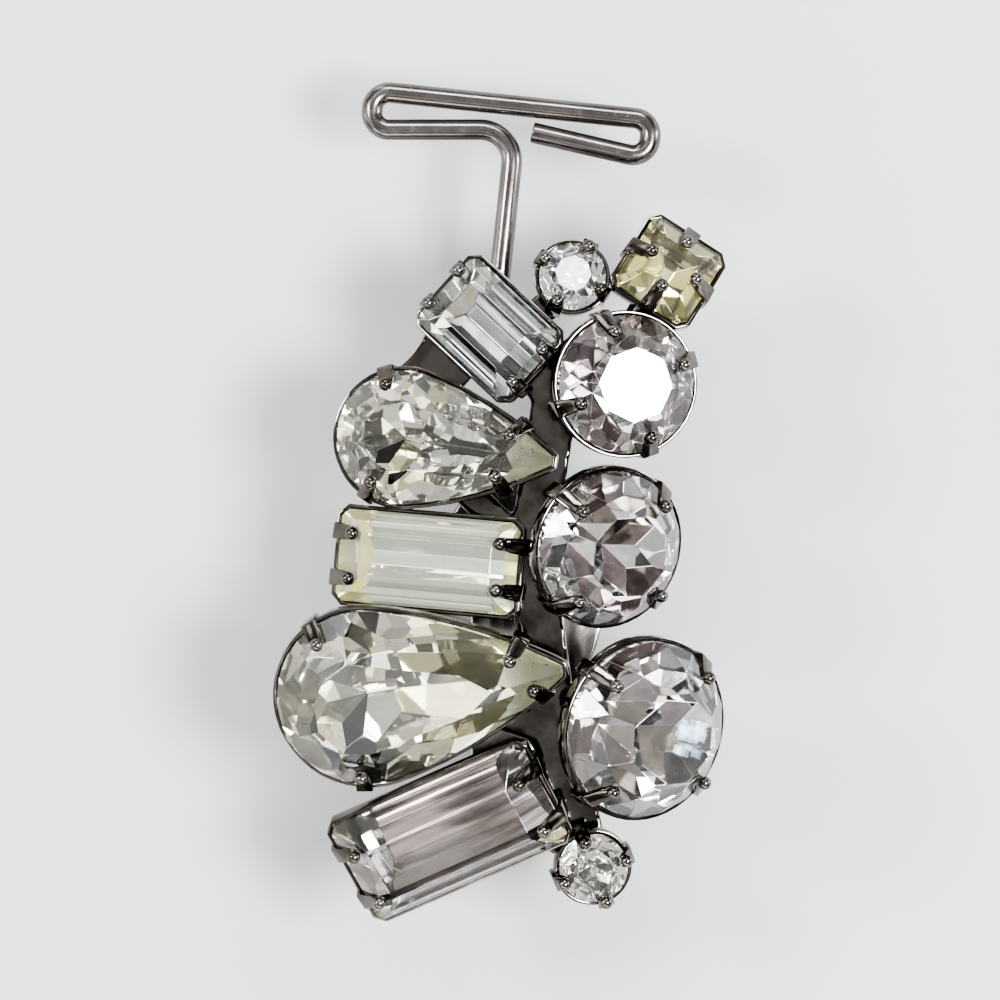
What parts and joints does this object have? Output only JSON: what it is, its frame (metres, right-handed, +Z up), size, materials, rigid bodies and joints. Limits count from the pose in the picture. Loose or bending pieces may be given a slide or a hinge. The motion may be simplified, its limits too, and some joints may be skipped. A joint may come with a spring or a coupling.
{
  "type": "clip on earring",
  "caption": "Clip-on climber earring: round, pear, baguette and square cut stones in prong cups, with a bent wire wing at the top and a spring clip behind.",
  "frame": {"origin": "middle of the clip paddle's underside, which lies on the surface", "axes": "+Z up, the way the stones face; +Y towards the wire wing; +X towards the column of round stones"},
  "size_m": [0.021, 0.0394, 0.0149],
  "materials": {
    "frame_metal": "polished plated white metal, slightly darkened with age",
    "clip_metal": "polished plated spring strip",
    "clear_glass": "clear foil-backed cut glass",
    "pale_yellow_glass": "foil-backed cut glass, yellowed with age",
    "olive_glass": "foil-backed cut glass, olive-yellow with age",
    "milky_glass": "milky foil-backed cut glass"
  },
  "bodies": {
    "root": {"setting_frame": "frame_metal", "clip_back": "clip_metal", "stone_round_top": "clear_glass", "stone_round_middle": "clear_glass", "stone_round_bottom": "clear_glass", "stone_small_top": "clear_glass", "stone_small_bottom": "clear_glass", "stone_square": "olive_glass", "stone_baguette_top": "clear_glass", "stone_baguette_middle": "milky_glass", "stone_baguette_bottom": "clear_glass", "stone_pear_top": "pale_yellow_glass", "stone_pear_bottom": "pale_yellow_glass"}
  },
  "joints": []
}
